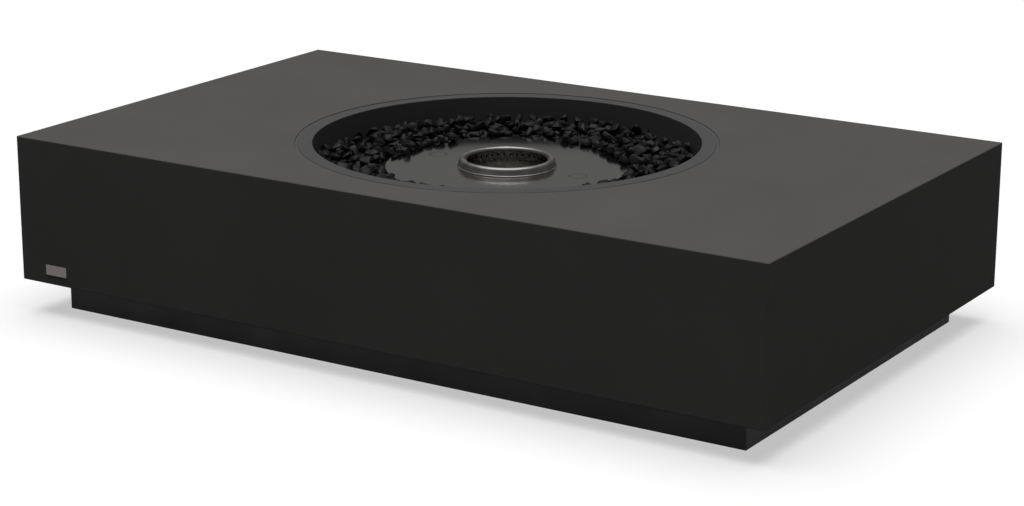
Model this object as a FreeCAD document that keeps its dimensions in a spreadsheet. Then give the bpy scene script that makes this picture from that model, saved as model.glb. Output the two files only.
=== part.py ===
import FreeCAD, Part
import math
import os
import random
import types

import Sketcher

# A low rectangular outdoor fire table: a cast concrete shell on a recessed
# steel plinth, a round steel fire tray let into its top, a liquid fuel burner
# hanging in the tray, and black glass shards round the burner.
# The origin is on the floor at the centre of the footprint. X runs along the
# length, Y along the width with the badge side at -Y, and Z is up.

DRIVING = [
    # whole table
    ("table_length", 1265),
    ("table_width", 766),
    ("table_height", 276),
    # concrete shell
    ("shell_wall", 18),
    ("shell_top", 22),
    ("shell_edge", 1.5),
    ("boss_length", 110),
    ("boss_clear_of_nut", 2.8),
    ("boss_height", 60),
    ("ledge_width", 21.5),
    ("rebate_depth", 3.4),
    ("rebate_edge", 1),
    ("tray_slack", 2.5),
    # plinth: height is from the floor to the underside of the shell
    ("plinth_height", 51.5),
    ("plinth_inset", 50),
    ("rail_sheet", 3),
    ("rail_top_flange", 40),
    ("rail_foot_flange", 25),
    ("corner_plate_width", 90),
    ("corner_plate_sheet", 3),
    ("bar_place", 300),
    ("bar_width", 30),
    ("bar_sheet", 2),
    # fixings between plinth and shell
    ("bearing_thickness", 2),
    ("bearing_length", 50),
    ("bearing_margin", 5),
    ("bolt_from_end", 52.5),
    ("bolt_radius", 4),
    ("bolt_length", 30),
    ("bolt_head_radius", 7.5),
    ("bolt_head_height", 5.3),
    ("bolt_slack", 0.4),
    ("washer_radius", 8),
    ("washer_thickness", 1.6),
    ("insert_radius", 6),
    ("insert_length", 26),
    ("insert_bore_slack", 0.1),
    # levelling feet
    ("pad_radius", 20),
    ("pad_clear_of_rail", 5),
    ("pad_height", 8),
    ("pad_chamfer", 2),
    ("pad_socket_depth", 5),
    ("stud_radius", 5),
    ("stud_length", 70),
    ("stud_fit", 0.06),
    ("stud_hole_slack", 0.5),
    ("nut_radius", 9.2),
    ("nut_height", 8),
    # bare badge on the front of the shell
    ("badge_length", 40),
    ("badge_height", 16),
    ("badge_thickness", 1.2),
    ("badge_from_end", 48.5),
    ("badge_from_bottom", 15),
    ("badge_corner", 1),
    ("badge_pin_radius", 1.5),
    ("badge_pin_length", 6),
    ("badge_pin_place", 13),
    # fire tray
    ("tray_sheet", 2),
    ("flange_gap", 3.3),
    ("flange_round", 1),
    ("well_radius", 291.5),
    ("well_depth", 68.6),
    ("seal_thickness", 1),
    ("seal_margin", 1),
    ("seal_fit", 0.3),
    ("drain_radius", 4),
    # burner
    ("plate_radius", 183),
    ("plate_overhang", 11),
    ("plate_thickness", 2),
    ("plate_drop", 39.6),
    ("plate_round", 0.6),
    # ring round the mouth, pressed from sheet
    ("ring_radius", 75.3),
    ("ring_width", 12.6),
    ("ring_height", 12.5),
    ("ring_sheet", 1.2),
    ("ring_foot", 1),
    ("ring_lean", 3.4),
    ("ring_lip", 7.5),
    ("ring_outer_round", 5.2),
    ("ring_inner_round", 3.8),
    ("ring_foot_round", 1.2),
    # mouth and tank
    ("sleeve_fit", 0.2),
    ("sleeve_sheet", 1.5),
    ("sleeve_rise", 8),
    ("sleeve_drop", 34),
    ("jet_radius", 1.6),
    ("jet_row_pitch", 8.5),
    ("jet_row_height", 1.6),
    ("collar_gap", 15),
    ("jacket_gap", 15),
    ("tank_depth", 117),
    ("tank_sheet", 1.5),
    ("spacer_radius", 10),
    ("spacer_height", 14.5),
    ("spacer_inset", 30),
    ("mesh_thickness", 1),
    ("mesh_hole_radius", 2.5),
    # loose glass
    ("glass_gap", 0.5),
    ("glass_clear_of_plate", 4),
    ("bed_below_plate", 6),
    ("inner_chip_height", 13),
    ("outer_chip_height", 21),
    ("rim_chip_width", 12),
    ("rim_chip_height", 8),
    ("shortest_chip_edge", 2),
]

JETS_PER_ROW = 40
JET_ROWS = 2
GLASS_ROWS = 5
RIM_CHIPS = 52
DRAINS = 4
SPACERS = 4
MESH_RINGS = 5
MESH_SECTORS = 6

# shares that shape the loose chips: of a chip's own outline or height, unless said otherwise
CHIP_FOOT = (0.7, 0.9)
CHIP_TOP = (0.4, 0.7)
CHIP_WAIST_HEIGHT = (0.25, 0.5)
CHIP_TOP_HEIGHT = 0.85
CHIP_TOP_SLOPE = (0.1, 0.5)
CHIP_RISE = (0.75, 1.1)
RIM_CHIP_RISE = (0.6, 1.0)
RIM_CHIP_REACH = (0.55, 1.0)
STRAY_CHIP_REACH = (0.35, 0.5)
STRAY_ALONG = (0, 0.6)
STRAY_ACROSS = (-0.3, 0.3)
ARC_STEP = math.radians(2)
ARC_STEPS = 4

# the arcs of the plate's rim that the spilled chips cover, in degrees round from +X,
# and the share of the places elsewhere on the rim that hold a chip
SPILLED_ARCS = ((30, 92), (148, 198))
STRAY_CHIPS_SHOWN = 0.3

# the most of its outer block that the hollow shell may fill
SHELL_SHARE = 0.4

# how close two computed lengths, in mm, are taken as the same
SAME_LENGTH = 1e-4
NEAR_LENGTH = 0.01
CORNERS = {
    "front_left": (-1, -1),
    "front_right": (1, -1),
    "back_left": (-1, 1),
    "back_right": (1, 1),
}


class Size:
    """A length together with the sheet formula that gives it."""

    def __init__(self, value, formula):
        self.value = float(value)
        self.formula = formula

    def __add__(self, other):
        other = sized(other)
        return Size(self.value + other.value, "(%s + %s)" % (self.formula, other.formula))

    def __sub__(self, other):
        other = sized(other)
        return Size(self.value - other.value, "(%s - %s)" % (self.formula, other.formula))

    def __mul__(self, other):
        other = sized(other)
        return Size(self.value * other.value, "(%s * %s)" % (self.formula, other.formula))

    def __truediv__(self, other):
        other = sized(other)
        return Size(self.value / other.value, "(%s / %s)" % (self.formula, other.formula))

    def __neg__(self):
        return self * -1


def sized(thing):
    return thing if isinstance(thing, Size) else Size(thing, "(%r)" % float(thing))


def make_sheet(doc):
    """The sheet of driving dimensions, and the sizes worked out from them."""
    sheet = doc.addObject("Spreadsheet::Sheet", "Sizes")
    s = types.SimpleNamespace()
    for row, (alias, value) in enumerate(DRIVING, start=1):
        sheet.set("A%d" % row, alias)
        sheet.set("B%d" % row, str(value))
        sheet.setAlias("B%d" % row, alias)
    doc.recompute()
    for alias, _ in DRIVING:
        setattr(s, alias, Size(sheet.get(alias), "Sizes." + alias))
    shell_sizes(s)
    plinth_sizes(s)
    tray_sizes(s)
    burner_sizes(s)
    return s


def shell_sizes(s):
    s.half_length = s.table_length / 2
    s.half_width = s.table_width / 2
    s.inner_x = s.half_length - s.shell_wall
    s.inner_y = s.half_width - s.shell_wall
    s.ceiling = s.table_height - s.shell_top
    s.rebate_floor = s.table_height - s.rebate_depth
    s.opening_radius = s.well_radius + s.tray_sheet + s.tray_slack
    s.rebate_radius = s.opening_radius + s.ledge_width


def plinth_sizes(s):
    s.plinth_x = s.half_length - s.plinth_inset
    s.plinth_y = s.half_width - s.plinth_inset
    s.rail_top = s.plinth_height - s.bearing_thickness
    s.rail_deck = s.rail_top - s.rail_sheet
    s.corner_bottom = s.rail_deck - s.corner_plate_sheet
    s.bolt_x = s.plinth_x - s.bolt_from_end
    s.bolt_y = s.plinth_y - s.rail_top_flange / 2
    foot_inset = s.rail_foot_flange + s.pad_clear_of_rail + s.pad_radius
    s.foot_x = s.plinth_x - foot_inset
    s.foot_y = s.plinth_y - foot_inset
    s.stud_bottom = s.pad_height - s.pad_socket_depth
    s.boss_face = s.foot_y + s.nut_radius + s.boss_clear_of_nut


def tray_sizes(s):
    s.flange_radius = s.rebate_radius - s.flange_gap
    s.flange_bottom = s.rebate_floor + s.seal_thickness
    s.flange_top = s.flange_bottom + s.tray_sheet
    s.tray_wall_radius = s.well_radius + s.tray_sheet
    s.trough_top = s.flange_top - s.well_depth
    s.trough_bottom = s.trough_top - s.tray_sheet
    s.collar_outer = s.plate_radius - s.plate_overhang
    s.collar_radius = s.collar_outer - s.tray_sheet


def burner_sizes(s):
    s.plate_top = s.flange_top - s.plate_drop
    s.plate_bottom = s.plate_top - s.plate_thickness
    s.ring_top = s.plate_top + s.ring_height
    s.ring_flank = s.ring_radius - s.ring_foot
    s.ring_crown = s.ring_flank - s.ring_lean
    s.ring_inner = s.ring_radius - s.ring_width
    s.sleeve_radius = s.ring_inner - s.sleeve_fit
    s.sleeve_top = s.plate_top + s.sleeve_rise
    s.sleeve_bottom = s.plate_bottom - s.sleeve_drop
    s.mouth_radius = s.sleeve_radius - s.sleeve_sheet
    s.mesh_bottom = s.sleeve_bottom - s.mesh_thickness
    s.mesh_pitch = s.mouth_radius / (MESH_RINGS + 1)
    s.jacket_radius = s.collar_radius - s.collar_gap
    s.tank_radius = s.jacket_radius - s.jacket_gap
    s.tank_bottom = s.plate_bottom - s.tank_depth
    s.tank_floor = s.tank_bottom + s.tank_sheet
    s.jacket_floor = s.tank_bottom - s.spacer_height
    s.jacket_bottom = s.jacket_floor - s.tank_sheet
    s.bed_inner = s.collar_outer + s.glass_gap
    s.bed_outer = s.well_radius - s.glass_gap
    s.chips_inner = s.plate_radius + s.glass_clear_of_plate
    s.row_pitch = (s.bed_outer - s.chips_inner) / GLASS_ROWS
    s.bed_top = s.plate_bottom - s.bed_below_plate


# building blocks

def bind(thing, **sizes):
    """Ties properties to the sheet; a double underscore in a name stands for a dot."""
    for name, size in sizes.items():
        thing.setExpression(name.replace("__", "."), sized(size).formula)
    return thing


def place(thing, x=0, y=0, z=0):
    return bind(thing, Placement__Base__x=x, Placement__Base__y=y, Placement__Base__z=z)


def new_body(doc, label):
    body = doc.addObject("PartDesign::Body", label)
    body.Label = label
    return body


def new_sketch(body, name, role, lift=0):
    """A sketch on one of the body's own origin planes, lifted along its normal."""
    plane = next(f for f in body.Origin.OriginFeatures if f.Role == role)
    sketch = body.newObject("Sketcher::SketchObject", body.Label + "_" + name)
    sketch.AttachmentSupport = [(plane, "")]
    sketch.MapMode = "FlatFace"
    bind(sketch, AttachmentOffset__Base__z=lift)
    return sketch


def tie(sketch, kind, geometry, point, size):
    """Fixes one coordinate of a point, measured from the sketch's origin."""
    constraint = Sketcher.Constraint(kind, -1, 1, geometry, point, size.value)
    index = sketch.addConstraint(constraint)
    sketch.setExpression("Constraints[%d]" % index, size.formula)


def draw_outline(sketch, points):
    """A closed outline of straight lines, every corner tied to the sheet."""
    corners = [(sized(x), sized(y)) for x, y in points]
    first = sketch.GeometryCount
    count = len(corners)
    for k, (x, y) in enumerate(corners):
        next_x, next_y = corners[(k + 1) % count]
        start = FreeCAD.Vector(x.value, y.value, 0)
        end = FreeCAD.Vector(next_x.value, next_y.value, 0)
        sketch.addGeometry(Part.LineSegment(start, end), False)
    for k in range(count):
        follower = first + (k + 1) % count
        sketch.addConstraint(Sketcher.Constraint("Coincident", first + k, 2, follower, 1))
    for k, (x, y) in enumerate(corners):
        tie(sketch, "DistanceX", first + k, 1, x)
        tie(sketch, "DistanceY", first + k, 1, y)


def draw_box(sketch, low_x, high_x, low_y, high_y):
    draw_outline(sketch, [(low_x, low_y), (high_x, low_y), (high_x, high_y), (low_x, high_y)])


def draw_circle(sketch, radius, x=0, y=0):
    centre = FreeCAD.Vector(sized(x).value, sized(y).value, 0)
    circle = Part.Circle(centre, FreeCAD.Vector(0, 0, 1), radius.value)
    index = sketch.addGeometry(circle, False)
    constraint = sketch.addConstraint(Sketcher.Constraint("Radius", index, radius.value))
    sketch.setExpression("Constraints[%d]" % constraint, radius.formula)
    tie(sketch, "DistanceX", index, 3, sized(x))
    tie(sketch, "DistanceY", index, 3, sized(y))


def pad(body, sketch, length, both_ways=False):
    feature = body.newObject("PartDesign::Pad", sketch.Label + "_pad")
    feature.Profile = sketch
    feature.Midplane = both_ways
    sketch.Visibility = False
    return bind(feature, Length=length)


def pocket(body, sketch, depth=None, upward=False):
    """Cuts the sketch away to a depth, or right through both ways without one."""
    feature = body.newObject("PartDesign::Pocket", sketch.Label + "_pocket")
    feature.Profile = sketch
    feature.Reversed = upward
    sketch.Visibility = False
    if depth is None:
        feature.Type = "ThroughAll"
        feature.Midplane = True
        return feature
    return bind(feature, Length=depth)


def repeat_round(body, feature, count):
    """Repeats a feature of the body in a full turn about Z."""
    axis = next(f for f in body.Origin.OriginFeatures if f.Role == "Z_Axis")
    pattern = body.newObject("PartDesign::PolarPattern", feature.Label + "_round")
    pattern.Originals = [feature]
    pattern.Axis = (axis, [""])
    pattern.Angle = 360
    pattern.Occurrences = count
    body.Tip = pattern
    return pattern


def turned(doc, label, points):
    """A body of revolution about Z from an outline of (radius, height) points."""
    body = new_body(doc, label)
    sketch = new_sketch(body, "profile", "XZ_Plane")
    draw_outline(sketch, points)
    feature = body.newObject("PartDesign::Revolution", label + "_turn")
    feature.Profile = sketch
    feature.ReferenceAxis = (sketch, ["V_Axis"])
    feature.Angle = 360
    sketch.Visibility = False
    return body


def edges_where(shape, chosen):
    return ["Edge%d" % k for k, edge in enumerate(shape.Edges, start=1) if chosen(edge)]


def round_edges(doc, body, label, radius, chosen):
    """Rounds the edges of the body's last feature that the test chooses."""
    doc.recompute()
    base = body.Tip
    names = edges_where(base.Shape, chosen)
    feature = body.newObject("PartDesign::Fillet", body.Label + "_" + label)
    feature.Base = (base, names)
    return bind(feature, Radius=radius)


def is_circle_at(edge, radius, height):
    """True for a full circle about Z of this radius at this height."""
    if edge.Degenerated or not isinstance(edge.Curve, Part.Circle):
        return False
    near = math.isclose(edge.Curve.Radius, radius.value, abs_tol=SAME_LENGTH)
    level = math.isclose(edge.BoundBox.ZMin, height.value, abs_tol=SAME_LENGTH)
    return near and level and edge.BoundBox.ZLength < SAME_LENGTH


def solid_rod(doc, name, radius, length, x=0, y=0, z=0):
    return place(bind(doc.addObject("Part::Cylinder", name), Radius=radius, Height=length), x, y, z)


def solid_hex(doc, name, radius, height, x=0, y=0, z=0):
    prism = doc.addObject("Part::Prism", name)
    prism.Polygon = 6
    return place(bind(prism, Circumradius=radius, Height=height), x, y, z)


def solid_block(doc, name, low, high):
    """A box between two corners."""
    box = doc.addObject("Part::Box", name)
    spans = [sized(b) - a for a, b in zip(low, high)]
    bind(box, Length=spans[0], Width=spans[1], Height=spans[2])
    return place(box, *low)


def cut(doc, name, base, tool):
    feature = doc.addObject("Part::Cut", name)
    feature.Base = base
    feature.Tool = tool
    return feature


def fuse(doc, name, shapes):
    feature = doc.addObject("Part::MultiFuse", name)
    feature.Shapes = shapes
    return feature


def group(doc, label, shapes):
    """Identical loose pieces that share one node."""
    feature = doc.addObject("Part::Compound", label)
    feature.Label = label
    feature.Links = shapes
    return feature


# concrete shell and badge

def boss_spans(s):
    """X and Y spans of the blocks cast inside the long walls, rooted in the walls."""
    root = s.shell_wall / 2
    spans = []
    for side in (-1, 1):
        outer = s.inner_y + root
        low_y, high_y = (s.boss_face, outer) if side > 0 else (-outer, -s.boss_face)
        end = s.inner_x + root
        start = s.inner_x - s.boss_length
        spans.append((-end, -start, low_y, high_y))
        spans.append((start, end, low_y, high_y))
        spans.append((-s.boss_length / 2, s.boss_length / 2, low_y, high_y))
    return spans


def bolt_places(s):
    """Where the plinth is bolted to the shell, and whether a corner plate is there."""
    places = []
    for side in (-1, 1):
        for along in (-1, 0, 1):
            places.append((s.bolt_x * along, s.bolt_y * side, along != 0))
    return places


def badge_pins(s):
    middle = -s.half_length + s.badge_from_end + s.badge_length / 2
    height = s.plinth_height + s.badge_from_bottom + s.badge_height / 2
    return [(middle + s.badge_pin_place * side, height) for side in (-1, 1)]


def make_shell(doc, s):
    body = new_body(doc, "concrete_shell")
    block = new_sketch(body, "footprint", "XY_Plane", s.plinth_height)
    draw_box(block, -s.half_length, s.half_length, -s.half_width, s.half_width)
    pad(body, block, s.table_height - s.plinth_height)
    hollow = new_sketch(body, "hollow", "XY_Plane", s.plinth_height)
    draw_box(hollow, -s.inner_x, s.inner_x, -s.inner_y, s.inner_y)
    pocket(body, hollow, s.ceiling - s.plinth_height, upward=True)
    bosses = new_sketch(body, "bosses", "XY_Plane", s.plinth_height)
    for span in boss_spans(s):
        draw_box(bosses, *span)
    pad(body, bosses, s.boss_height)
    sockets = new_sketch(body, "sockets", "XY_Plane", s.plinth_height)
    for x, y, _ in bolt_places(s):
        draw_circle(sockets, s.insert_radius, x, y)
    pocket(body, sockets, s.insert_length, upward=True)
    opening = new_sketch(body, "opening", "XY_Plane", s.table_height)
    draw_circle(opening, s.opening_radius)
    pocket(body, opening, s.shell_top)
    rebate = new_sketch(body, "rebate", "XY_Plane", s.table_height)
    draw_circle(rebate, s.rebate_radius)
    pocket(body, rebate, s.rebate_depth)
    pin_holes = new_sketch(body, "pin_holes", "XZ_Plane", s.half_width)
    for x, z in badge_pins(s):
        draw_circle(pin_holes, s.badge_pin_radius, x, z)
    pocket(body, pin_holes, s.badge_pin_length)
    round_shell(doc, body, s)
    return body


def round_shell(doc, body, s):
    def is_outer(edge):
        box = edge.BoundBox
        upright = box.ZLength > s.shell_top.value
        corner_x = abs(abs(box.Center.x) - s.half_length.value) < NEAR_LENGTH
        corner_y = abs(abs(box.Center.y) - s.half_width.value) < NEAR_LENGTH
        rim = box.ZMin > s.table_height.value - NEAR_LENGTH and (corner_x or corner_y)
        foot = box.ZMax < s.plinth_height.value + NEAR_LENGTH and (corner_x or corner_y)
        return rim or foot or (upright and corner_x and corner_y)

    round_edges(doc, body, "edges", s.shell_edge, is_outer)
    round_edges(doc, body, "lip", s.rebate_edge,
                lambda edge: is_circle_at(edge, s.rebate_radius, s.table_height))


def make_badge(doc, s):
    body = new_body(doc, "badge_plate")
    left = -s.half_length + s.badge_from_end
    low = s.plinth_height + s.badge_from_bottom
    face = new_sketch(body, "face", "XZ_Plane", s.half_width)
    draw_box(face, left, left + s.badge_length, low, low + s.badge_height)
    pad(body, face, s.badge_thickness)
    pins = new_sketch(body, "pins", "XZ_Plane", s.half_width)
    for x, z in badge_pins(s):
        draw_circle(pins, s.badge_pin_radius, x, z)
    backward = pad(body, pins, s.badge_pin_length)
    backward.Reversed = True
    front = -s.half_width - s.badge_thickness

    def is_corner(edge):
        box = edge.BoundBox
        across = box.YLength > s.badge_thickness.value - NEAR_LENGTH
        thin = box.XLength + box.ZLength < SAME_LENGTH
        return across and thin and box.YMin < front.value + NEAR_LENGTH

    round_edges(doc, body, "corners", s.badge_corner, is_corner)
    return body


# plinth

def rail_profile(s, outer, sign):
    """A channel section open to the inside; outer is its face's place across."""
    inner = outer - s.rail_sheet * sign
    top = outer - s.rail_top_flange * sign
    foot = outer - s.rail_foot_flange * sign
    return [
        (outer, 0), (foot, 0), (foot, s.rail_sheet), (inner, s.rail_sheet),
        (inner, s.rail_deck), (top, s.rail_deck), (top, s.rail_top), (outer, s.rail_top),
    ]


def mitre_wedge(s, end_sign, side_sign):
    """The corner that a mitre takes off a rail, run past the steel all round."""
    reach = s.rail_sheet
    out_x = (s.plinth_x + reach) * end_sign
    out_y = (s.plinth_y + reach) * side_sign
    in_x = (s.plinth_x - s.rail_top_flange - reach) * end_sign
    in_y = (s.plinth_y - s.rail_top_flange - reach) * side_sign
    return out_x, out_y, in_x, in_y


def make_long_rail(doc, s, label, side):
    body = new_body(doc, label)
    section = new_sketch(body, "section", "YZ_Plane")
    draw_outline(section, rail_profile(s, s.plinth_y * side, side))
    pad(body, section, s.plinth_x * 2, both_ways=True)
    mitres = new_sketch(body, "mitres", "XY_Plane")
    for end in (-1, 1):
        out_x, out_y, in_x, in_y = mitre_wedge(s, end, side)
        draw_outline(mitres, [(out_x, out_y), (in_x, in_y), (out_x, in_y)])
    pocket(body, mitres)
    holes = new_sketch(body, "bolt_holes", "XY_Plane", s.rail_top)
    for along in (-1, 0, 1):
        draw_circle(holes, s.bolt_radius + s.bolt_slack, s.bolt_x * along, s.bolt_y * side)
    pocket(body, holes, s.rail_sheet)
    return body


def make_end_rail(doc, s, label, end):
    body = new_body(doc, label)
    section = new_sketch(body, "section", "XZ_Plane")
    draw_outline(section, rail_profile(s, s.plinth_x * end, end))
    pad(body, section, s.plinth_y * 2, both_ways=True)
    mitres = new_sketch(body, "mitres", "XY_Plane")
    for side in (-1, 1):
        out_x, out_y, in_x, in_y = mitre_wedge(s, end, side)
        draw_outline(mitres, [(out_x, out_y), (in_x, in_y), (in_x, out_y)])
    pocket(body, mitres)
    return body


def make_corner_plates(doc, s):
    """Square plates under the mitred corners, each holding a foot's nut."""
    plates = []
    for name, (end, side) in CORNERS.items():
        near_x, near_y = s.plinth_x - s.rail_sheet, s.plinth_y - s.rail_sheet
        far_x, far_y = near_x - s.corner_plate_width, near_y - s.corner_plate_width
        low_x = far_x if end > 0 else -near_x
        low_y = far_y if side > 0 else -near_y
        low = (low_x, low_y, s.corner_bottom)
        high = (low_x + s.corner_plate_width, low_y + s.corner_plate_width, s.rail_deck)
        plate = solid_block(doc, "corner_%s_blank" % name, low, high)
        stud_hole = solid_rod(doc, "corner_%s_stud_hole" % name, s.stud_radius + s.stud_hole_slack,
                              s.corner_plate_sheet, s.foot_x * end, s.foot_y * side, s.corner_bottom)
        bolt_hole = solid_rod(doc, "corner_%s_bolt_hole" % name, s.bolt_radius + s.bolt_slack,
                              s.corner_plate_sheet, s.bolt_x * end, s.bolt_y * side, s.corner_bottom)
        holes = fuse(doc, "corner_%s_holes" % name, [stud_hole, bolt_hole])
        plates.append(cut(doc, "corner_%s" % name, plate, holes))
    return group(doc, "corner_plates", plates)


def make_cross_bars(doc, s):
    """Two square tubes across the plinth, under its top flanges."""
    bars = []
    reach = s.plinth_y - s.rail_sheet
    for side in (-1, 1):
        middle = s.bar_place * side
        half = s.bar_width / 2
        low_z = s.rail_deck - s.bar_width
        outer = solid_block(doc, "bar_outer_%d" % (side + 1), (middle - half, -reach, low_z),
                            (middle + half, reach, s.rail_deck))
        bore = half - s.bar_sheet
        inner = solid_block(doc, "bar_bore_%d" % (side + 1),
                            (middle - bore, -reach, low_z + s.bar_sheet),
                            (middle + bore, reach, s.rail_deck - s.bar_sheet))
        bars.append(cut(doc, "bar_%d" % (side + 1), outer, inner))
    return group(doc, "cross_bars", bars)


def make_foot_nuts(doc, s):
    """Weld nuts on the corner plates that the foot studs turn in."""
    nuts = []
    for name, (end, side) in CORNERS.items():
        x, y = s.foot_x * end, s.foot_y * side
        hexagon = solid_hex(doc, "nut_%s_hex" % name, s.nut_radius, s.nut_height, x, y, s.rail_deck)
        bore = solid_rod(doc, "nut_%s_bore" % name, s.stud_radius + s.stud_fit, s.nut_height,
                         x, y, s.rail_deck)
        nuts.append(cut(doc, "nut_%s" % name, hexagon, bore))
    return group(doc, "foot_nuts", nuts)


# fixings between plinth and shell

def seat_under(s, has_plate):
    """The steel face that a washer bears on."""
    return s.corner_bottom if has_plate else s.rail_deck


def make_bearing_pads(doc, s):
    pads = []
    for k, (x, y, _) in enumerate(bolt_places(s)):
        half_x, half_y = s.bearing_length / 2, s.rail_top_flange / 2 - s.bearing_margin
        blank = solid_block(doc, "bearing_%d_blank" % k, (x - half_x, y - half_y, s.rail_top),
                            (x + half_x, y + half_y, s.plinth_height))
        hole = solid_rod(doc, "bearing_%d_hole" % k, s.bolt_radius + s.bolt_slack,
                         s.bearing_thickness, x, y, s.rail_top)
        pads.append(cut(doc, "bearing_%d" % k, blank, hole))
    return group(doc, "bearing_pads", pads)


def make_inserts(doc, s):
    """Threaded sockets cast into the shell's blocks."""
    inserts = []
    for k, (x, y, _) in enumerate(bolt_places(s)):
        outer = solid_rod(doc, "insert_%d_outer" % k, s.insert_radius, s.insert_length,
                          x, y, s.plinth_height)
        bore = solid_rod(doc, "insert_%d_bore" % k, s.bolt_radius + s.insert_bore_slack,
                         s.insert_length, x, y, s.plinth_height)
        inserts.append(cut(doc, "insert_%d" % k, outer, bore))
    return group(doc, "shell_inserts", inserts)


def make_bolts(doc, s):
    bolts = []
    for k, (x, y, has_plate) in enumerate(bolt_places(s)):
        seat = seat_under(s, has_plate) - s.washer_thickness
        shank = solid_rod(doc, "bolt_%d_shank" % k, s.bolt_radius, s.bolt_length, x, y, seat)
        head = solid_hex(doc, "bolt_%d_head" % k, s.bolt_head_radius, s.bolt_head_height,
                         x, y, seat - s.bolt_head_height)
        bolts.append(fuse(doc, "bolt_%d" % k, [shank, head]))
    return group(doc, "shell_bolts", bolts)


def make_washers(doc, s):
    washers = []
    for k, (x, y, has_plate) in enumerate(bolt_places(s)):
        seat = seat_under(s, has_plate) - s.washer_thickness
        disc = solid_rod(doc, "washer_%d_disc" % k, s.washer_radius, s.washer_thickness, x, y, seat)
        hole = solid_rod(doc, "washer_%d_hole" % k, s.bolt_radius + s.bolt_slack,
                         s.washer_thickness, x, y, seat)
        washers.append(cut(doc, "washer_%d" % k, disc, hole))
    return group(doc, "bolt_washers", washers)


# levelling feet

def make_foot_pad(doc, s, name, end, side):
    edge = s.pad_radius - s.pad_chamfer
    shoulder = s.pad_height - s.pad_chamfer
    pad_body = turned(doc, "foot_pad_" + name, [
        (0, 0), (s.pad_radius, 0), (s.pad_radius, shoulder), (edge, s.pad_height),
        (s.stud_radius, s.pad_height), (s.stud_radius, s.stud_bottom), (0, s.stud_bottom),
    ])
    return place(pad_body, s.foot_x * end, s.foot_y * side)


def make_foot_stud(doc, s, name, end, side):
    stud = solid_rod(doc, "foot_stud_" + name, s.stud_radius, s.stud_length,
                     s.foot_x * end, s.foot_y * side, s.stud_bottom)
    stud.Label = "foot_stud_" + name
    return stud


# fire tray

def make_fire_tray(doc, s):
    """A dish of bent sheet: flange, wall, annular trough and inner collar."""
    body = turned(doc, "fire_tray", [
        (s.flange_radius, s.flange_top), (s.well_radius, s.flange_top),
        (s.well_radius, s.trough_top), (s.collar_outer, s.trough_top),
        (s.collar_outer, s.plate_bottom), (s.collar_radius, s.plate_bottom),
        (s.collar_radius, s.trough_bottom), (s.tray_wall_radius, s.trough_bottom),
        (s.tray_wall_radius, s.flange_bottom), (s.flange_radius, s.flange_bottom),
    ])
    drains = new_sketch(body, "drains", "XY_Plane", s.trough_top)
    middle = (s.collar_outer + s.well_radius) / 2
    for k in range(DRAINS):
        turn = math.pi * (2 * k + 1) / DRAINS
        draw_circle(drains, s.drain_radius, middle * math.cos(turn), middle * math.sin(turn))
    pocket(body, drains, s.tray_sheet)
    round_edges(doc, body, "lip", s.flange_round,
                lambda edge: is_circle_at(edge, s.well_radius, s.flange_top)
                or is_circle_at(edge, s.flange_radius, s.flange_top))
    return body


def make_tray_seal(doc, s):
    """A woven tape under the flange, turned up round its edge to fill the joint."""
    inner = s.opening_radius + s.seal_margin
    outer = s.rebate_radius - s.seal_fit
    lip = s.flange_top - s.flange_round
    return turned(doc, "tray_seal", [
        (inner, s.rebate_floor), (outer, s.rebate_floor), (outer, lip),
        (s.flange_radius, lip), (s.flange_radius, s.flange_bottom), (inner, s.flange_bottom),
    ])


# burner

def make_burner_plate(doc, s):
    body = turned(doc, "burner_plate", [
        (s.sleeve_radius, s.plate_bottom), (s.plate_radius, s.plate_bottom),
        (s.plate_radius, s.plate_top), (s.sleeve_radius, s.plate_top),
    ])
    round_edges(doc, body, "rim", s.plate_round,
                lambda edge: is_circle_at(edge, s.plate_radius, s.plate_top))
    return body


def make_mouth_ring(doc, s):
    """A pressed ring over the mouth: a narrow foot, a leaning flank, a round top, an inner lip."""
    foot_top = s.plate_top + s.ring_sheet
    lip = s.ring_top - s.ring_lip
    hollow_top = s.ring_top - s.ring_sheet
    hollow_inner = s.ring_inner + s.ring_sheet
    hollow_crown = s.ring_crown - s.ring_sheet
    body = turned(doc, "mouth_ring", [
        (s.ring_inner, lip), (s.ring_inner, s.ring_top), (s.ring_crown, s.ring_top),
        (s.ring_flank, foot_top), (s.ring_radius, foot_top), (s.ring_radius, s.plate_top),
        (s.ring_flank - s.ring_sheet, s.plate_top), (hollow_crown, hollow_top),
        (hollow_inner, hollow_top), (hollow_inner, lip),
    ])
    rounds = [
        ("outer_round", s.ring_outer_round, s.ring_crown, s.ring_top),
        ("inner_round", s.ring_inner_round, s.ring_inner, s.ring_top),
        ("foot_round", s.ring_foot_round, s.ring_flank, foot_top),
        ("hollow_outer_round", s.ring_outer_round - s.ring_sheet, hollow_crown, hollow_top),
        ("hollow_inner_round", s.ring_inner_round - s.ring_sheet, hollow_inner, hollow_top),
    ]
    for label, size, radius, height in rounds:
        round_edges(doc, body, label, size,
                    lambda edge: is_circle_at(edge, radius, height))
    return body


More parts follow.
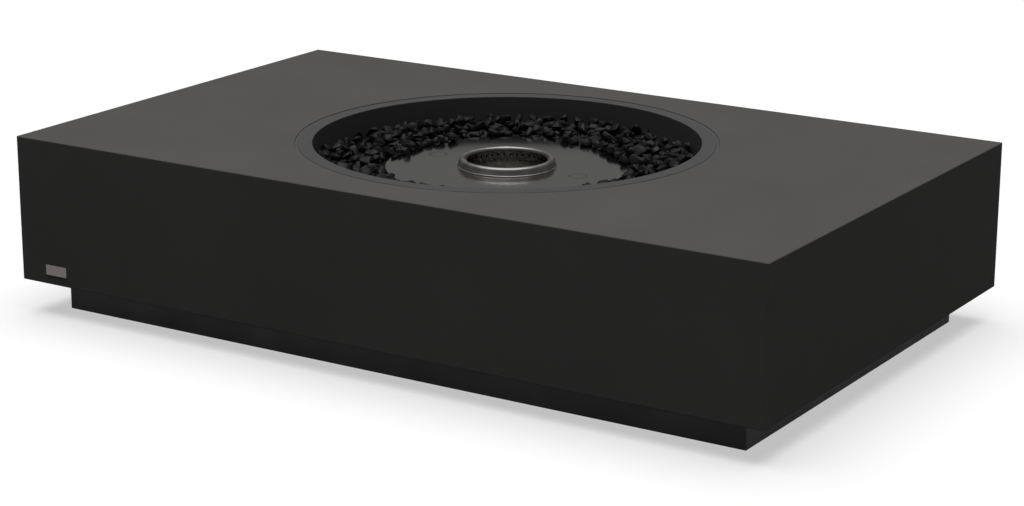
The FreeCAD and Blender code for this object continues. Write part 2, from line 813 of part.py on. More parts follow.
def make_flame_sleeve(doc, s):
    """The wall of the burner's mouth, with rows of small holes all round."""
    body = turned(doc, "flame_sleeve", [
        (s.mouth_radius, s.sleeve_bottom), (s.sleeve_radius, s.sleeve_bottom),
        (s.sleeve_radius, s.sleeve_top), (s.mouth_radius, s.sleeve_top),
    ])
    outside = s.sleeve_radius + s.sleeve_sheet
    inside = s.mouth_radius - s.sleeve_sheet
    jets = new_sketch(body, "jets", "XZ_Plane", outside)
    half_pitch = s.sleeve_radius * (math.pi / JETS_PER_ROW)
    for row in range(JET_ROWS):
        level = s.plate_top + s.jet_row_height - s.jet_row_pitch * row
        draw_circle(jets, s.jet_radius, half_pitch * (row % 2), level)
    through = pocket(body, jets, outside - inside)
    repeat_round(body, through, JETS_PER_ROW)
    return body


def cup(doc, label, radius, sheet, bottom, top):
    """A plain round cup of sheet metal, open at the top."""
    floor = bottom + sheet
    inner = radius - sheet
    return turned(doc, label, [
        (0, bottom), (radius, bottom), (radius, top), (inner, top), (inner, floor), (0, floor),
    ])


def make_tank_spacers(doc, s):
    blocks = []
    reach = s.tank_radius - s.spacer_inset
    for k in range(SPACERS):
        turn = math.pi * (2 * k + 1) / SPACERS
        blocks.append(solid_rod(doc, "tank_spacer_%d" % k, s.spacer_radius, s.spacer_height,
                                reach * math.cos(turn), reach * math.sin(turn),
                                s.jacket_floor))
    return group(doc, "tank_spacers", blocks)


def make_wool(doc, s):
    wool = solid_rod(doc, "fuel_wool", s.tank_radius - s.tank_sheet, s.mesh_bottom - s.tank_floor,
                     0, 0, s.tank_floor)
    wool.Label = "fuel_wool"
    return wool


def make_mesh(doc, s):
    """The pierced disc that keeps the wool down, with rings of holes in the mouth."""
    outer = s.tank_radius - s.tank_sheet
    body = turned(doc, "wool_mesh", [
        (s.mesh_hole_radius, s.mesh_bottom), (outer, s.mesh_bottom),
        (outer, s.sleeve_bottom), (s.mesh_hole_radius, s.sleeve_bottom),
    ])
    holes = new_sketch(body, "holes", "XY_Plane", s.sleeve_bottom)
    for ring in range(1, MESH_RINGS + 1):
        for k in range(ring):
            turn = 2 * math.pi / MESH_SECTORS * k / ring
            reach = s.mesh_pitch * ring
            draw_circle(holes, s.mesh_hole_radius, reach * math.cos(turn), reach * math.sin(turn))
    sector = pocket(body, holes, s.mesh_thickness)
    repeat_round(body, sector, MESH_SECTORS)
    return body


# loose glass

def make_glass_bed(doc, s):
    """The packed glass under the top layer."""
    return turned(doc, "glass_bed", [
        (s.bed_inner, s.trough_top), (s.bed_outer, s.trough_top),
        (s.bed_outer, s.bed_top), (s.bed_inner, s.bed_top),
    ])


def clip(outline, heading, limit):
    """The part of a flat convex outline that lies less far along a heading than a limit."""
    kept = []
    for k, point in enumerate(outline):
        before = outline[k - 1]
        here = point.dot(heading) - limit
        there = before.dot(heading) - limit
        if here * there < 0:
            kept.append(before + (point - before) * (there / (there - here)))
        if here <= 0:
            kept.append(point)
    return kept


def toward(turn):
    return FreeCAD.Vector(math.cos(turn), math.sin(turn), 0)


def chip_outline(s, middle, others, inner, outer):
    """The patch nearer to one chip's middle than to any other's, between two circles."""
    gap = s.glass_gap.value
    reach = outer - inner
    outline = [middle + FreeCAD.Vector(x * reach, y * reach, 0)
               for x, y in ((-1, -1), (1, -1), (1, 1), (-1, 1))]
    for other in others:
        across = other - middle
        if 0 < across.Length < 2 * reach:
            heading = across / across.Length
            halfway = (middle + other).dot(heading) / 2
            outline = clip(outline, heading, halfway - gap / 2)
    turn = math.atan2(middle.y, middle.x)
    outline = clip(outline, -toward(turn), -inner)
    for step in range(-ARC_STEPS, ARC_STEPS + 1):
        outline = clip(outline, toward(turn + ARC_STEP * step), outer)
    return without_short_sides(outline, s.shortest_chip_edge.value)


def without_short_sides(outline, shortest):
    kept = []
    for point in outline:
        if not kept or (point - kept[-1]).Length > shortest:
            kept.append(point)
    if (kept[0] - kept[-1]).Length <= shortest:
        kept.pop()
    return kept


def triangle(a, b, c):
    return Part.Face(Part.makePolygon([a, b, c, a]))


def chip_solid(dice, outline, base, height):
    """One angular chip: undercut foot, wide waist, bevelled sides and a tilted flat top."""
    up = FreeCAD.Vector(0, 0, 1)
    middle = sum(outline, FreeCAD.Vector()) / len(outline)
    foot_share = dice.uniform(*CHIP_FOOT)
    top_share = dice.uniform(*CHIP_TOP)
    slope = toward(dice.uniform(0, 2 * math.pi)) * dice.uniform(*CHIP_TOP_SLOPE)
    foot, waist, top = [], [], []
    for point in outline:
        arm = point - middle
        crown = arm * top_share
        foot.append(middle + arm * foot_share + up * base)
        waist.append(point + up * (base + height * dice.uniform(*CHIP_WAIST_HEIGHT)))
        top.append(middle + crown + up * (base + height * CHIP_TOP_HEIGHT + crown.dot(slope)))
    faces = [Part.Face(Part.makePolygon(foot + foot[:1])), Part.Face(Part.makePolygon(top + top[:1]))]
    for k in range(-1, len(outline) - 1):
        for low, high in ((foot, waist), (waist, top)):
            faces.append(triangle(low[k], low[k + 1], high[k + 1]))
            faces.append(triangle(low[k], high[k + 1], high[k]))
    return Part.Solid(Part.Shell(faces))


def loose_group(doc, label, chips):
    feature = doc.addObject("Part::Feature", label)
    feature.Label = label
    feature.Shape = Part.makeCompound(chips)
    return feature


def make_glass_rows(doc, s):
    """The top layer of chips that fills the tray round the plate, in rings."""
    dice = random.Random(4)
    inner, outer, pitch = s.chips_inner.value, s.bed_outer.value, s.row_pitch.value
    rows = []
    for row in range(GLASS_ROWS):
        radius = inner + pitch * (row + 0.5)
        count = round(2 * math.pi * radius / pitch)
        rows.append([toward(2 * math.pi * (k + dice.uniform(*STRAY_ALONG)) / count)
                     * (radius + pitch * dice.uniform(*STRAY_ACROSS)) for k in range(count)])
    middles = [middle for row in rows for middle in row]
    groups = []
    for row, members in enumerate(rows):
        chips = []
        for middle in members:
            outline = chip_outline(s, middle, middles, inner, outer)
            share = (middle.Length - inner) / (outer - inner)
            height = s.inner_chip_height + (s.outer_chip_height - s.inner_chip_height) * share
            rise = height.value * dice.uniform(*CHIP_RISE)
            chips.append(chip_solid(dice, outline, s.bed_top.value, rise))
        groups.append(loose_group(doc, "glass_row_%d" % (row + 1), chips))
    return groups


def make_rim_glass(doc, s):
    """Chips that have spilled on to the rim of the burner's plate."""
    dice = random.Random(11)
    outer, width = s.plate_radius.value, s.rim_chip_width.value

    def is_spilled(middle):
        turn = math.degrees(math.atan2(middle.y, middle.x)) % 360
        return any(low < turn < high for low, high in SPILLED_ARCS)

    middles = [toward(2 * math.pi * (k + dice.uniform(*STRAY_ALONG)) / RIM_CHIPS)
               * (outer - width / 2) for k in range(RIM_CHIPS)]
    chips = []
    for middle in middles:
        spilled = is_spilled(middle)
        reach = dice.uniform(*(RIM_CHIP_REACH if spilled else STRAY_CHIP_REACH))
        outline = chip_outline(s, middle, middles, outer - width * reach, outer)
        height = s.rim_chip_height.value * reach * dice.uniform(*RIM_CHIP_RISE)
        if spilled or dice.random() < STRAY_CHIPS_SHOWN:
            chips.append(chip_solid(dice, outline, s.plate_top.value, height))
    return loose_group(doc, "glass_on_plate", chips)


# whole table

def make_parts(doc, s):
    parts = [
        make_shell(doc, s), make_badge(doc, s), make_inserts(doc, s), make_bearing_pads(doc, s),
        make_long_rail(doc, s, "plinth_front_rail", -1),
        make_long_rail(doc, s, "plinth_back_rail", 1),
        make_end_rail(doc, s, "plinth_left_rail", -1),
        make_end_rail(doc, s, "plinth_right_rail", 1),
        make_corner_plates(doc, s), make_cross_bars(doc, s), make_foot_nuts(doc, s),
        make_bolts(doc, s), make_washers(doc, s),
        make_fire_tray(doc, s), make_tray_seal(doc, s),
        make_burner_plate(doc, s), make_mouth_ring(doc, s), make_flame_sleeve(doc, s),
        cup(doc, "fuel_tank", s.tank_radius, s.tank_sheet, s.tank_bottom, s.plate_bottom),
        cup(doc, "burner_jacket", s.jacket_radius, s.tank_sheet, s.jacket_bottom, s.plate_bottom),
        make_tank_spacers(doc, s), make_wool(doc, s), make_mesh(doc, s),
        make_glass_bed(doc, s), make_rim_glass(doc, s),
    ]
    parts += make_glass_rows(doc, s)
    for name, (end, side) in CORNERS.items():
        parts.append(make_foot_pad(doc, s, name, end, side))
        parts.append(make_foot_stud(doc, s, name, end, side))
    return parts


def check(doc, parts):
    """Stops before anything is written if an object or a shape is bad."""
    for thing in doc.Objects:
        if "Invalid" in thing.State or "Error" in thing.State:
            raise RuntimeError("%s failed: %s" % (thing.Label, thing.State))
    for part in parts:
        if part.Shape.isNull() or not part.Shape.isValid() or part.Shape.Volume <= 0:
            raise RuntimeError("%s has a bad shape" % part.Label)


def check_cuts(parts, s):
    """A cut that points away from its solid leaves the volume too large."""
    shell = next(part for part in parts if part.Label == "concrete_shell").Shape
    outer = s.table_length.value * s.table_width.value * (s.table_height - s.plinth_height).value
    if shell.Volume > SHELL_SHARE * outer:
        raise RuntimeError("the shell was not hollowed")
    probe = FreeCAD.Vector(0, 0, s.table_height.value - s.shell_top.value / 2)
    if shell.isInside(probe, NEAR_LENGTH, True):
        raise RuntimeError("the shell has no opening")


def main():
    os.makedirs("parts", exist_ok=True)
    doc = FreeCAD.newDocument("fire_table")
    sizes = make_sheet(doc)
    parts = make_parts(doc, sizes)
    doc.recompute()
    check(doc, parts)
    check_cuts(parts, sizes)
    for part in parts:
        part.Shape.exportStep("parts/%s.step" % part.Label)
        print("%-20s solids %3d volume %.0f" % (part.Label, len(part.Shape.Solids), part.Shape.Volume))


main()
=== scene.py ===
import math
import random

import bmesh
import bpy
from mathutils import Matrix, Vector


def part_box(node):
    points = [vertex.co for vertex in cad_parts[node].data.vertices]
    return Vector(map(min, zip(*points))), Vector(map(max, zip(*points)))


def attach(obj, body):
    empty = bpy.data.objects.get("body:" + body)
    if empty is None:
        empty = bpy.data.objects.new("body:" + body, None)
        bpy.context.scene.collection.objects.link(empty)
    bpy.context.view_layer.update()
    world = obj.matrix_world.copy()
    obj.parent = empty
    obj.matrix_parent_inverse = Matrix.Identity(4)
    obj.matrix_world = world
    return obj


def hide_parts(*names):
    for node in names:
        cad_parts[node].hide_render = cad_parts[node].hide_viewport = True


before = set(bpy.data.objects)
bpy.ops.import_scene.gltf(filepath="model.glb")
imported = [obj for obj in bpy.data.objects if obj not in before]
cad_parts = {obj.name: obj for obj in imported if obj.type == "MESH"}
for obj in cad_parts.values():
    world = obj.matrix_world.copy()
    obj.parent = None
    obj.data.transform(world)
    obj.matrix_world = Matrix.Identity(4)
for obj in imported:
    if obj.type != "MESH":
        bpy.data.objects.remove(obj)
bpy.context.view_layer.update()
MM = 0.001

# Camera, solved from the corners of the table in the photograph.
PHOTO_SIZE = (1024, 506)
EYE = Vector((2.0499, -3.2391, 1.2023))
LOOK_AZIMUTH = math.radians(32.79)
LOOK_DOWN = math.radians(16.30)
FOCAL_PIXELS = 2628.0
CENTRE_PIXEL = (486.4, 263.7)
SENSOR_WIDTH = 36.0

# Sizes read from the frame.
PLATE_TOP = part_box("burner_plate")[1].z
PLATE_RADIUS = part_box("burner_plate")[1].x
WELL_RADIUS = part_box("glass_bed")[1].x
BED_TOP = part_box("glass_bed")[1].z
PLINTH_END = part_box("plinth_right_rail")[1].x
PLINTH_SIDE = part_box("plinth_back_rail")[1].y


# shader building blocks

def plug(tree, value, socket):
    """Links another node's output to an input, or sets the input to a plain value."""
    if isinstance(value, bpy.types.NodeSocket):
        tree.links.new(value, socket)
    else:
        socket.default_value = value


def maths(tree, operation, first, second=0.0):
    made = tree.nodes.new("ShaderNodeMath")
    made.operation = operation
    plug(tree, first, made.inputs[0])
    plug(tree, second, made.inputs[1])
    return made.outputs["Value"]


class Look:
    """A node material round one Principled shader, with short calls for its inputs."""

    def __init__(self, name, colour, roughness, metallic=0.0):
        self.material = bpy.data.materials.new(name)
        self.material.use_nodes = True
        self.tree = self.material.node_tree
        self.shader = self.tree.nodes["Principled BSDF"]
        self.place = self.tree.nodes.new("ShaderNodeTexCoord").outputs["Object"]
        self.set("Base Color", (*colour, 1.0))
        self.set("Roughness", roughness)
        self.set("Metallic", metallic)

    def set(self, socket, value):
        self.shader.inputs[socket].default_value = value

    def node(self, kind, **values):
        """A node whose inputs are set by name, with underscores for spaces."""
        made = self.tree.nodes.new(kind)
        for name, value in values.items():
            plug(self.tree, value, made.inputs[name.replace("_", " ")])
        return made

    def link(self, output, socket):
        plug(self.tree, output, self.shader.inputs[socket])
        return self

    def noise(self, scale, detail=4.0, roughness=0.5, place=None):
        made = self.node("ShaderNodeTexNoise", Vector=place or self.place, Scale=scale,
                         Detail=detail, Roughness=roughness)
        return made.outputs["Fac"]

    def stretched(self, x, y, z):
        """The object's own coordinates, stretched along its axes."""
        made = self.tree.nodes.new("ShaderNodeMapping")
        plug(self.tree, self.place, made.inputs["Vector"])
        made.inputs["Scale"].default_value = (x, y, z)
        return made.outputs["Vector"]

    def span(self, value, low, high, to_low, to_high):
        """Maps a value from one range to another."""
        made = self.node("ShaderNodeMapRange", Value=value, From_Min=low, From_Max=high,
                         To_Min=to_low, To_Max=to_high)
        return made.outputs["Result"]

    def maths(self, operation, first, second=0.0):
        return maths(self.tree, operation, first, second)

    def blend(self, share, first, second):
        """Mixes two colours, each a tuple or a socket, by a share from 0 to 1."""
        made = self.tree.nodes.new("ShaderNodeMix")
        made.data_type = "RGBA"
        sockets = [s for s in made.inputs if s.enabled]
        for socket, value in zip(sockets, (share, first, second)):
            plug(self.tree, (*value, 1.0) if isinstance(value, tuple) else value, socket)
        return next(s for s in made.outputs if s.enabled)

    def bump(self, height, strength, distance):
        made = self.tree.nodes.new("ShaderNodeBump")
        made.inputs["Strength"].default_value = strength
        made.inputs["Distance"].default_value = distance
        plug(self.tree, height, made.inputs["Height"])
        return self.link(made.outputs["Normal"], "Normal")


# materials

def concrete_look():
    """Fine cast concrete: clouded tone, small air pits and a faint grain."""
    look = Look("concrete", (0.085, 0.083, 0.081), 0.75)
    look.set("Specular IOR Level", 0.01)
    clouds = look.noise(5.0, 5.0, 0.55)
    grain = look.noise(260.0, 3.0, 0.6)
    wide = look.span(clouds, 0.3, 0.7, -0.35, 0.35)
    fine = look.span(grain, 0.3, 0.7, -0.2, 0.2)
    share = look.span(look.maths("ADD", wide, fine), -0.6, 0.6, 0.0, 1.0)
    look.link(look.blend(share, (0.078, 0.076, 0.074), (0.092, 0.090, 0.088)), "Base Color")
    look.link(look.span(clouds, 0.3, 0.7, 0.68, 0.8), "Roughness")
    pits = look.node("ShaderNodeTexVoronoi", Vector=look.place, Scale=240.0).outputs["Distance"]
    relief = look.maths("ADD", look.maths("MULTIPLY", grain, 0.5), look.span(pits, 0.0, 0.12, 0.0, 0.5))
    return look.bump(relief, 0.25, 0.15 * MM)


def powder_coat_look():
    """Black powder coat with a fine orange peel."""
    look = Look("black_powder_coat", (0.02, 0.02, 0.021), 0.68)
    look.set("Specular IOR Level", 0.36)
    peel = look.noise(900.0, 2.0)
    look.link(look.span(look.noise(14.0), 0.3, 0.7, 0.62, 0.74), "Roughness")
    return look.bump(peel, 0.2, 0.08 * MM)


def tray_look():
    """Dark heat-proof coat with a slight cloud of heat in it."""
    look = Look("tray_coat", (0.07, 0.07, 0.0705), 0.42)
    look.set("Specular IOR Level", 0.03)
    heat = look.noise(9.0, 3.0)
    share = look.span(heat, 0.3, 0.7, 0.0, 1.0)
    look.link(look.blend(share, (0.067, 0.067, 0.0675), (0.073, 0.073, 0.0735)), "Base Color")
    look.link(look.span(heat, 0.3, 0.7, 0.34, 0.42), "Roughness")
    return look.bump(look.noise(1200.0, 2.0), 0.12, 0.05 * MM)


STEEL_COLOUR = (0.42, 0.41, 0.4)
STEEL_ROUGHNESS = (0.1, 0.16)


def satin_steel_look(name="satin_steel"):
    """Brushed stainless with fine streaks along X."""
    look = Look(name, STEEL_COLOUR, sum(STEEL_ROUGHNESS) / 2, 1.0)
    streaks = look.noise(1.0, 6.0, 0.7, look.stretched(30.0, 2600.0, 30.0))
    look.brushed = look.span(streaks, 0.3, 0.7, *STEEL_ROUGHNESS)
    look.link(look.brushed, "Roughness")
    return look.bump(streaks, 0.03, 0.02 * MM)


# Two plain etched rings on the burner's plate: distance from its middle, radius, line width and finish.
ETCHED_REACH = 124.5 * MM
ETCHED_RADIUS = 13.2 * MM
ETCHED_LINE = 2.4 * MM
ETCHED_COLOUR = (0.16, 0.155, 0.15)
ETCHED_DULLNESS = 0.08


def plate_look():
    """The burner's plate: brushed stainless with an etched ring on each side of the mouth."""
    look = satin_steel_look("plate_steel")
    split = look.node("ShaderNodeSeparateXYZ", Vector=look.place)
    across = look.maths("SUBTRACT", look.maths("ABSOLUTE", split.outputs["X"]), ETCHED_REACH)
    along = split.outputs["Y"]
    squares = [look.maths("MULTIPLY", value, value) for value in (across, along)]
    away = look.maths("SQRT", look.maths("ADD", *squares))
    off_line = look.maths("ABSOLUTE", look.maths("SUBTRACT", away, ETCHED_RADIUS))
    mark = look.span(off_line, 0.35 * ETCHED_LINE, 0.65 * ETCHED_LINE, 1.0, 0.0)
    look.link(look.blend(mark, STEEL_COLOUR, ETCHED_COLOUR), "Base Color")
    duller = look.maths("MULTIPLY", mark, ETCHED_DULLNESS)
    return look.link(look.maths("ADD", look.brushed, duller), "Roughness")


def ring_look():
    """Pressed stainless, worn to a satin by heat, with a faint cloud of tint."""
    look = Look("ring_steel", (0.225, 0.217, 0.212), 0.45, 1.0)
    heat = look.noise(40.0, 3.0)
    share = look.span(heat, 0.35, 0.65, 0.0, 1.0)
    look.link(look.blend(share, (0.2, 0.193, 0.189), (0.25, 0.241, 0.236)), "Base Color")
    return look.link(look.span(heat, 0.3, 0.7, 0.4, 0.5), "Roughness")


def glass_look():
    """Opaque black glass with conchoidal ripples on its broken faces."""
    look = Look("black_glass", (0.0075, 0.0075, 0.008), 0.55)
    look.set("IOR", 1.52)
    look.set("Specular IOR Level", 0.12)
    ripple = look.noise(140.0, 2.0)
    look.link(look.span(look.noise(60.0), 0.35, 0.65, 0.4, 0.6), "Roughness")
    return look.bump(ripple, 0.4, 0.7 * MM)


def zinc_look():
    """Zinc plate with a faint spangle."""
    look = Look("zinc_plate", (0.45, 0.46, 0.48), 0.35, 1.0)
    spangle = look.noise(300.0, 2.0)
    look.link(look.span(spangle, 0.3, 0.7, 0.28, 0.45), "Roughness")
    return look.bump(spangle, 0.1, 0.05 * MM)


def rubber_look():
    """Matt black rubber."""
    look = Look("rubber", (0.018, 0.018, 0.019), 0.8)
    return look.bump(look.noise(500.0, 3.0), 0.3, 0.1 * MM)


def badge_look():
    """Satin metal, brushed along its length."""
    look = Look("badge_metal", (0.155, 0.138, 0.136), 0.45, 1.0)
    streaks = look.noise(1.0, 4.0, 0.6, look.stretched(60.0, 60.0, 3000.0))
    look.link(look.span(streaks, 0.3, 0.7, 0.34, 0.48), "Roughness")
    return look.bump(streaks, 0.06, 0.02 * MM)


def wool_look():
    """Soft white ceramic fibre."""
    look = Look("ceramic_wool", (0.7, 0.68, 0.63), 0.95)
    fibres = look.noise(1.0, 5.0, 0.7, look.stretched(900.0, 220.0, 400.0))
    look.link(look.blend(fibres, (0.45, 0.42, 0.36), (0.8, 0.79, 0.75)), "Base Color")
    return look.bump(fibres, 0.8, 1.0 * MM)


def tape_look():
    """Woven glass fibre tape, darkened by heat."""
    look = Look("seal_tape", (0.06, 0.06, 0.06), 0.9)
    return look.bump(look.noise(700.0, 2.0), 0.5, 0.2 * MM)


def give(look, *names):
    """Puts a finish in the material slots of CAD nodes."""
    for name in names:
        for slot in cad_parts[name].material_slots:
            slot.material = look.material


def dress_cad_nodes():
    """Gives every piece that comes from the CAD model its finish."""
    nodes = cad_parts
    give(concrete_look(), "concrete_shell")
    give(badge_look(), "badge_plate")
    give(tray_look(), "fire_tray")
    give(tape_look(), "tray_seal")
    give(ring_look(), "mouth_ring")
    give(plate_look(), "burner_plate")
    give(satin_steel_look(), "flame_sleeve", "wool_mesh", "fuel_tank", "burner_jacket")
    give(wool_look(), "fuel_wool")
    give(zinc_look(), "shell_inserts", "foot_nuts", "shell_bolts", "bolt_washers", "tank_spacers",
         *[n for n in nodes if n.startswith("foot_stud")])
    give(powder_coat_look(), "corner_plates", "cross_bars", *[n for n in nodes if n.endswith("_rail")])
    give(rubber_look(), "bearing_pads", *[n for n in nodes if n.startswith("foot_pad")])


# loose glass

GLASS_SEED = 20

# Lumps about 1 long: how many kinds, corners of each, width, thickness, rounding and how far corners reach.
CHIP_KINDS = 28
CHIP_CORNERS = (10, 14)
CHIP_WIDTHS = (0.66, 0.9)
CHIP_THICKNESSES = (0.55, 0.78)
CHIP_ROUNDING = 0.045
CHIP_REACHES = (0.4, 0.5 - CHIP_ROUNDING)
CHIP_BALL = [(x, y, z) for x in (-1, 0, 1) for y in (-1, 0, 1) for z in (-1, 0, 1) if x or y or z]
FLAT_ENOUGH = math.radians(2)

# Rows of chips round the burner: gap to its plate, spacing, lengths, tilt, level of each layer against the
# packed glass, rise of the upper layer from row to row, highest tops over the plate, and rise towards +X.
PLATE_GAP = 1.5 * MM
CHIP_SPACING = 19 * MM
CHIP_LENGTHS = (17 * MM, 28 * MM)
CHIP_TILT = 0.45
LOWER_LAYER = -4 * MM
UPPER_LAYER = 2 * MM
ROW_RISE = 1.5 * MM
CHIP_TOPS = (14 * MM, 47 * MM)
CHIP_BANK = 0.007


def chip_template(dice):
    """A broken lump about 1 long: the hull of small balls set at the corners of a lopsided ellipsoid."""
    mesh = bmesh.new()
    squash = Vector((1.0, dice.uniform(*CHIP_WIDTHS), dice.uniform(*CHIP_THICKNESSES)))
    for _ in range(dice.randint(*CHIP_CORNERS)):
        corner = Vector([dice.gauss(0, 1) for _ in range(3)]).normalized() * dice.uniform(*CHIP_REACHES)
        corner = Vector(a * b for a, b in zip(corner, squash))
        for side in CHIP_BALL:
            mesh.verts.new(corner + Vector(side).normalized() * CHIP_ROUNDING)
    bmesh.ops.convex_hull(mesh, input=mesh.verts)
    loose = [v for v in mesh.verts if not v.link_faces]
    bmesh.ops.delete(mesh, geom=loose, context="VERTS")
    bmesh.ops.dissolve_limit(mesh, angle_limit=FLAT_ENOUGH, verts=mesh.verts, edges=mesh.edges)
    mesh.verts.index_update()
    points = [v.co.copy() for v in mesh.verts]
    faces = [[v.index for v in face.verts] for face in mesh.faces]
    mesh.free()
    return points, faces


def mesh_object(name, points, faces, material):
    """A smooth-shaded object from points and faces."""
    data = bpy.data.meshes.new(name)
    data.from_pydata(points, [], faces)
    data.polygons.foreach_set("use_smooth", [True] * len(faces))
    data.materials.append(material)
    made = bpy.data.objects.new(name, data)
    bpy.context.scene.collection.objects.link(made)
    return made


def chips_object(name, places, templates, look):
    """One mesh of chips; each place is (kind, matrix)."""
    points, faces = [], []
    for kind, matrix in places:
        chip_points, chip_faces = templates[kind]
        first = len(points)
        points += [matrix @ p for p in chip_points]
        faces += [[first + k for k in face] for face in chip_faces]
    return mesh_object(name, points, faces, look.material)


def lay_chip(dice, templates, turn, radius, floor, size, tilt, bank=0.0):
    """A chip's place: turned at random, tilted a little, and lowered on to a level or a bank."""
    kind = dice.randrange(len(templates))
    spin = Matrix.Rotation(dice.uniform(0, 2 * math.pi), 4, "Z")
    lean = Matrix.Rotation(dice.gauss(0, tilt), 4, "X") @ Matrix.Rotation(dice.gauss(0, tilt), 4, "Y")
    shape = spin @ lean @ Matrix.Scale(size, 4)
    lowest = min((shape @ p).z for p in templates[kind][0])
    across = radius * math.cos(turn)
    height = floor - lowest + max(0.0, across) * bank
    where = Vector((across, radius * math.sin(turn), height))
    return kind, Matrix.Translation(where) @ shape


def kept_between(place, templates, inner, outer):
    """Moves a chip in or out so that it stays between two cylinders about Z."""
    kind, matrix = place
    reaches = [(matrix @ p).to_2d().length for p in templates[kind][0]]
    shift = min(0.0, outer - max(reaches)) + max(0.0, inner - min(reaches))
    heading = matrix.translation.copy()
    heading.z = 0.0
    return kind, Matrix.Translation(heading.normalized() * shift) @ matrix


def kept_under(place, templates, ceiling):
    """Sinks a chip into the ones below it until its top is no higher than a level."""
    kind, matrix = place
    top = max((matrix @ p).z for p in templates[kind][0])
    return kind, Matrix.Translation((0.0, 0.0, min(0.0, ceiling - top))) @ matrix


def fill_ring(dice, templates, inner, outer, floors, count, sizes, tilt):
    """Chips strewn over a ring, layer on layer."""
    places = []
    for layer, floor in enumerate(floors):
        for k in range(count):
            turn = 2 * math.pi * (k + dice.uniform(-0.45, 0.45) + 0.5 * layer) / count
            radius = dice.uniform(inner, outer)
            size = dice.uniform(*sizes)
            places.append(lay_chip(dice, templates, turn, radius, floor, size, tilt, CHIP_BANK))
    return places


def add_glass(piece, body, node):
    """Lets a mesh of chips ride on a body in place of a CAD node."""
    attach(piece, body)
    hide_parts(node)


def make_glass():
    """All the loose glass: the rows round the burner, then what lies on its plate."""
    dice = random.Random(GLASS_SEED)
    look = glass_look()
    give(look, "glass_bed")
    templates = [chip_template(dice) for _ in range(CHIP_KINDS)]
    rows = sorted(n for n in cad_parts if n.startswith("glass_row"))
    inner, outer = PLATE_RADIUS + PLATE_GAP, WELL_RADIUS
    pitch = (outer - inner) / len(rows)
    for k, row in enumerate(rows):
        low, high = inner + pitch * k, inner + pitch * (k + 1)
        count = round(math.pi * (low + high) / CHIP_SPACING)
        floors = (BED_TOP + LOWER_LAYER, BED_TOP + UPPER_LAYER + ROW_RISE * k)
        ceiling = PLATE_TOP + CHIP_TOPS[0] + (CHIP_TOPS[1] - CHIP_TOPS[0]) * k / len(rows)
        places = fill_ring(dice, templates, low, high, floors, count, CHIP_LENGTHS, CHIP_TILT)
        places = [kept_between(place, templates, inner, outer) for place in places]
        places = [kept_under(place, templates, ceiling) for place in places]
        add_glass(chips_object("loose_" + row, places, templates, look), "fire_tray", row)
    make_rim_glass(dice, templates, look)


# Where chips have spilled on to the plate: direction, half width of the spill, and reach inwards.
SPILLS = ((math.radians(62), math.radians(32), 14 * MM), (math.radians(172), math.radians(26), 11 * MM))
LEAST_SPILL = 2 * MM
RIM_CHIPS = 96
RIM_CHIP_LENGTHS = (14 * MM, 24 * MM)
RIM_CHIP_TILT = 0.2
RIM_OVERHANG = 1 * MM


def spill_reach(turn):
    """How far chips lie in over the plate's rim in a direction."""
    reach = 0.0
    for middle, half, depth in SPILLS:
        away = abs((turn - middle + math.pi) % (2 * math.pi) - math.pi) / half
        reach = max(reach, depth * (1 - away * away))
    return reach


def make_rim_glass(dice, templates, look):
    """Chips that have rolled on to the rim of the burner's plate."""
    places = []
    for k in range(RIM_CHIPS):
        turn = 2 * math.pi * (k + dice.uniform(-0.5, 0.5)) / RIM_CHIPS
        reach = spill_reach(turn)
        if reach <= LEAST_SPILL:
            continue
        radius = PLATE_RADIUS - dice.uniform(0.1, 1.0) * reach
        size = dice.uniform(*RIM_CHIP_LENGTHS)
        place = lay_chip(dice, templates, turn, radius, PLATE_TOP, size, RIM_CHIP_TILT)
        places.append(kept_between(place, templates, 0.0, PLATE_RADIUS + RIM_OVERHANG))
    piece = chips_object("loose_glass_on_plate", places, templates, look)
    add_glass(piece, "burner", "glass_on_plate")


# surroundings

def lathe(name, profile, sides, material):
    """A surface of revolution about Z through (radius, height) points, the first on the axis."""
    points = [(0.0, 0.0, profile[0][1])]
    for radius, height in profile[1:]:
        for k in range(sides):
            turn = 2 * math.pi * k / sides
            points.append((radius * math.cos(turn), radius * math.sin(turn), height))
    faces = [(0, 1 + k, 1 + (k + 1) % sides) for k in range(sides)]
    for ring in range(len(profile) - 2):
        for k in range(sides):
            a, b = 1 + ring * sides + k, 1 + ring * sides + (k + 1) % sides
            faces.append((a, a + sides, b + sides, b))
    return mesh_object(name, points, faces, material)


# The floor: what it shows of the light on it, its own shine, and the light it throws back.
FLOOR_SHADED = 0.46
FLOOR_SHINE = 0.52
FLOOR_BOUNCE = 0.12
FLOOR_REACH = 30.0
FLOOR_FLAT = 4.0
WALL_HEIGHT = 1.6
WALL_ROUNDING = 1.2
ROUNDING_STEPS = 8
FLOOR_SIDES = 96


def seen_ray(tree):
    """1 for what the eye sees straight on, in a reflection or through glass, and 0 for the rest."""
    path = tree.nodes.new("ShaderNodeLightPath").outputs
    seen = maths(tree, "MAXIMUM", path["Is Camera Ray"], path["Is Glossy Ray"])
    return maths(tree, "MAXIMUM", seen, path["Is Transmission Ray"])


def beyond_plinth(tree):
    """1 on the open floor and 0 under the table, inside the plinth, where the floor's shine is left off as
    a painted shade.
    """
    split = tree.nodes.new("ShaderNodeSeparateXYZ")
    plug(tree, tree.nodes.new("ShaderNodeTexCoord").outputs["Object"], split.inputs["Vector"])
    past = [maths(tree, "GREATER_THAN", maths(tree, "ABSOLUTE", split.outputs[axis]), edge)
            for axis, edge in (("X", PLINTH_END), ("Y", PLINTH_SIDE))]
    return maths(tree, "MAXIMUM", *past)


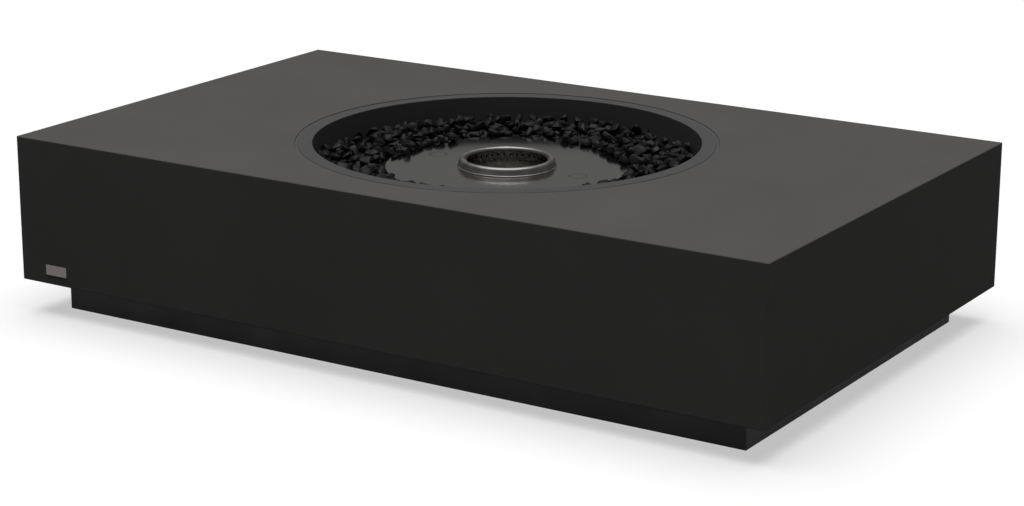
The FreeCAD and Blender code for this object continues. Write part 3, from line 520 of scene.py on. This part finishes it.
def diffuse(tree, level):
    """A plain matt grey surface."""
    made = tree.nodes.new("ShaderNodeBsdfDiffuse")
    made.inputs["Color"].default_value = (level, level, level, 1)
    return made.outputs["BSDF"]


def floor_look():
    """Pale studio floor: white to the eye and in reflections, dimmer in the light it throws back, with its
    shine left off inside the plinth as a painted shade under the table.
    """
    material = bpy.data.materials.new("studio_floor")
    material.use_nodes = True
    tree = material.node_tree
    tree.nodes.clear()
    shine = tree.nodes.new("ShaderNodeEmission")
    # The shine stops at the plinth, so the floor under the table shows a painted shade.
    plug(tree, maths(tree, "MULTIPLY", beyond_plinth(tree), FLOOR_SHINE), shine.inputs["Strength"])
    pale = tree.nodes.new("ShaderNodeAddShader")
    plug(tree, diffuse(tree, FLOOR_SHADED), pale.inputs[0])
    plug(tree, shine.outputs["Emission"], pale.inputs[1])
    choice = tree.nodes.new("ShaderNodeMixShader")
    plug(tree, seen_ray(tree), choice.inputs[0])
    plug(tree, diffuse(tree, FLOOR_BOUNCE), choice.inputs[1])
    plug(tree, pale.outputs["Shader"], choice.inputs[2])
    out = tree.nodes.new("ShaderNodeOutputMaterial")
    plug(tree, choice.outputs["Shader"], out.inputs["Surface"])
    return material


def make_floor():
    """A flat floor that turns up into a low wall far out all round."""
    start = FLOOR_REACH - WALL_ROUNDING
    profile = [(0, 0), (FLOOR_FLAT, 0), (start, 0)]
    for k in range(1, ROUNDING_STEPS + 1):
        turn = math.pi / 2 * k / ROUNDING_STEPS
        profile.append((start + WALL_ROUNDING * math.sin(turn), WALL_ROUNDING * (1 - math.cos(turn))))
    profile.append((FLOOR_REACH, WALL_HEIGHT))
    lathe("floor", profile, FLOOR_SIDES, floor_look())


# The lamp, and how strong the surround is as a light and to the eye.
SUN_STRENGTH = 3.32
SUN_ANGLE = math.radians(60)
SUN_TILT = math.radians(3)
SURROUND_LIGHT = 0.03
SURROUND_SEEN = 0.17


def make_light():
    """A broad soft light from above, and a dim even surround."""
    light = bpy.data.lights.new("overhead", "SUN")
    light.energy = SUN_STRENGTH
    light.angle = SUN_ANGLE
    lamp = bpy.data.objects.new("overhead", light)
    lamp.rotation_euler = (0.0, -SUN_TILT, 0.0)
    bpy.context.scene.collection.objects.link(lamp)
    world = bpy.data.worlds.new("surround")
    world.use_nodes = True
    tree = world.node_tree
    shade = tree.nodes["Background"]
    shade.inputs["Color"].default_value = (1, 1, 1, 1)
    level = tree.nodes.new("ShaderNodeMapRange")
    level.inputs["To Min"].default_value = SURROUND_LIGHT
    level.inputs["To Max"].default_value = SURROUND_SEEN
    plug(tree, seen_ray(tree), level.inputs["Value"])
    plug(tree, level.outputs["Result"], shade.inputs["Strength"])
    bpy.context.scene.world = world


def make_camera():
    """The photograph's camera."""
    data = bpy.data.cameras.new("photo_camera")
    data.sensor_width = SENSOR_WIDTH
    data.lens = FOCAL_PIXELS * SENSOR_WIDTH / PHOTO_SIZE[0]
    data.shift_x = (PHOTO_SIZE[0] / 2 - CENTRE_PIXEL[0]) / PHOTO_SIZE[0]
    data.shift_y = (CENTRE_PIXEL[1] - PHOTO_SIZE[1] / 2) / PHOTO_SIZE[0]
    camera = bpy.data.objects.new("photo_camera", data)
    ahead = Vector((-math.sin(LOOK_AZIMUTH) * math.cos(LOOK_DOWN),
                    math.cos(LOOK_AZIMUTH) * math.cos(LOOK_DOWN), -math.sin(LOOK_DOWN)))
    camera.location = EYE
    camera.rotation_mode = "QUATERNION"
    camera.rotation_quaternion = ahead.to_track_quat("-Z", "Y")
    bpy.context.scene.collection.objects.link(camera)
    bpy.context.scene.camera = camera


bpy.context.scene.view_settings.view_transform = "Standard"
dress_cad_nodes()
make_glass()
make_floor()
make_light()
make_camera()
